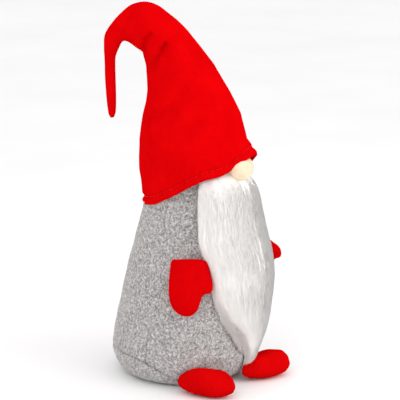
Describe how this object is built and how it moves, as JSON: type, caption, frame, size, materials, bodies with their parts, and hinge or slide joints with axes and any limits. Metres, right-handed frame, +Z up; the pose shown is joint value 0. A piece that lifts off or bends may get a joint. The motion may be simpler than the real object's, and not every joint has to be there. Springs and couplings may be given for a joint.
{
  "type": "stuffed gnome figure",
  "caption": "Free-standing cone-shaped felt gnome with a tall drooping pointed hat over its eyes, a ball nose, a long fur beard, sewn-on mittens and flat cloth feet.",
  "frame": {"origin": "middle of the flat rest face, on the floor", "axes": "+Z up; the nose and beard face -Y; the figure's right hand is on -X"},
  "size_m": [0.1988, 0.2347, 0.4997],
  "materials": {
    "body_felt": "mottled grey wool felt, matte",
    "hat_velvet": "red short-pile velvet, soft matte",
    "beard_fur": "long white fur pile",
    "fur_backing": "white knit backing, matte",
    "nose_jersey": "skin-coloured stretch jersey, matte",
    "mitten_cloth": "red brushed cloth, matte",
    "foot_cloth": "red brushed cloth, matte",
    "wadding": "white polyester wadding",
    "pellets": "plastic pellets in a bag"
  },
  "bodies": {
    "trunk": {"base_panel": "body_felt", "body_front_panel": "body_felt", "body_back_panel": "body_felt", "pellet_bag": "pellets", "body_fill": "wadding", "hat_lower_cloth": "hat_velvet", "hat_hem_band": "hat_velvet", "hat_lower_fill": "wadding", "beard_root_backing": "fur_backing", "beard_root_fur": "beard_fur", "nose_skin": "nose_jersey", "nose_fill": "wadding"},
    "crown": {"hat_crown_cloth": "hat_velvet", "hat_crown_fill": "wadding"},
    "tail": {"hat_tail": "hat_velvet"},
    "beard": {"beard_backing": "fur_backing", "beard_fur": "beard_fur"},
    "mitten_right": {"mitten_right_front": "mitten_cloth", "mitten_right_back": "mitten_cloth", "mitten_right_fill": "wadding"},
    "mitten_left": {"mitten_left_front": "mitten_cloth", "mitten_left_back": "mitten_cloth", "mitten_left_fill": "wadding"},
    "foot_right": {"foot_right_upper": "foot_cloth", "foot_right_sole": "foot_cloth", "foot_right_fill": "wadding"},
    "foot_left": {"foot_left_upper": "foot_cloth", "foot_left_sole": "foot_cloth", "foot_left_fill": "wadding"}
  },
  "joints": [
    {"name": "hat_bend", "type": "hinge", "parent": "trunk", "child": "crown", "pos_m": [-0.01272, 0.00652, 0.429], "axis": [0.848, 0.5299, 0], "range_deg": [-8, 45]},
    {"name": "tail_swing", "type": "hinge", "parent": "crown", "child": "tail", "pos_m": [-0.0514, 0.06843, 0.46378], "axis": [0.848, 0.5299, 0], "range_deg": [-8, 50]},
    {"name": "beard_lift", "type": "hinge", "parent": "trunk", "child": "beard", "pos_m": [0, -0.08217, 0.206], "axis": [-1, 0, 0], "range_deg": [0, 40]},
    {"name": "mitten_right_lift", "type": "hinge", "parent": "trunk", "child": "mitten_right", "pos_m": [-0.07282, -0.05489, 0.177], "axis": [-0.5299, 0.848, 0], "range_deg": [0, 75]},
    {"name": "mitten_left_lift", "type": "hinge", "parent": "trunk", "child": "mitten_left", "pos_m": [0.07974, -0.07194, 0.182], "axis": [0.2419, -0.9703, 0], "range_deg": [0, 50]},
    {"name": "foot_right_turn", "type": "hinge", "parent": "trunk", "child": "foot_right", "pos_m": [-0.0887, -0.04992, 0.0142], "axis": [0, 0, -1], "range_deg": [0, 45]},
    {"name": "foot_left_turn", "type": "hinge", "parent": "trunk", "child": "foot_left", "pos_m": [-0.0106, -0.10161, 0.0142], "axis": [0, 0, -1], "range_deg": [0, 45]}
  ]
}
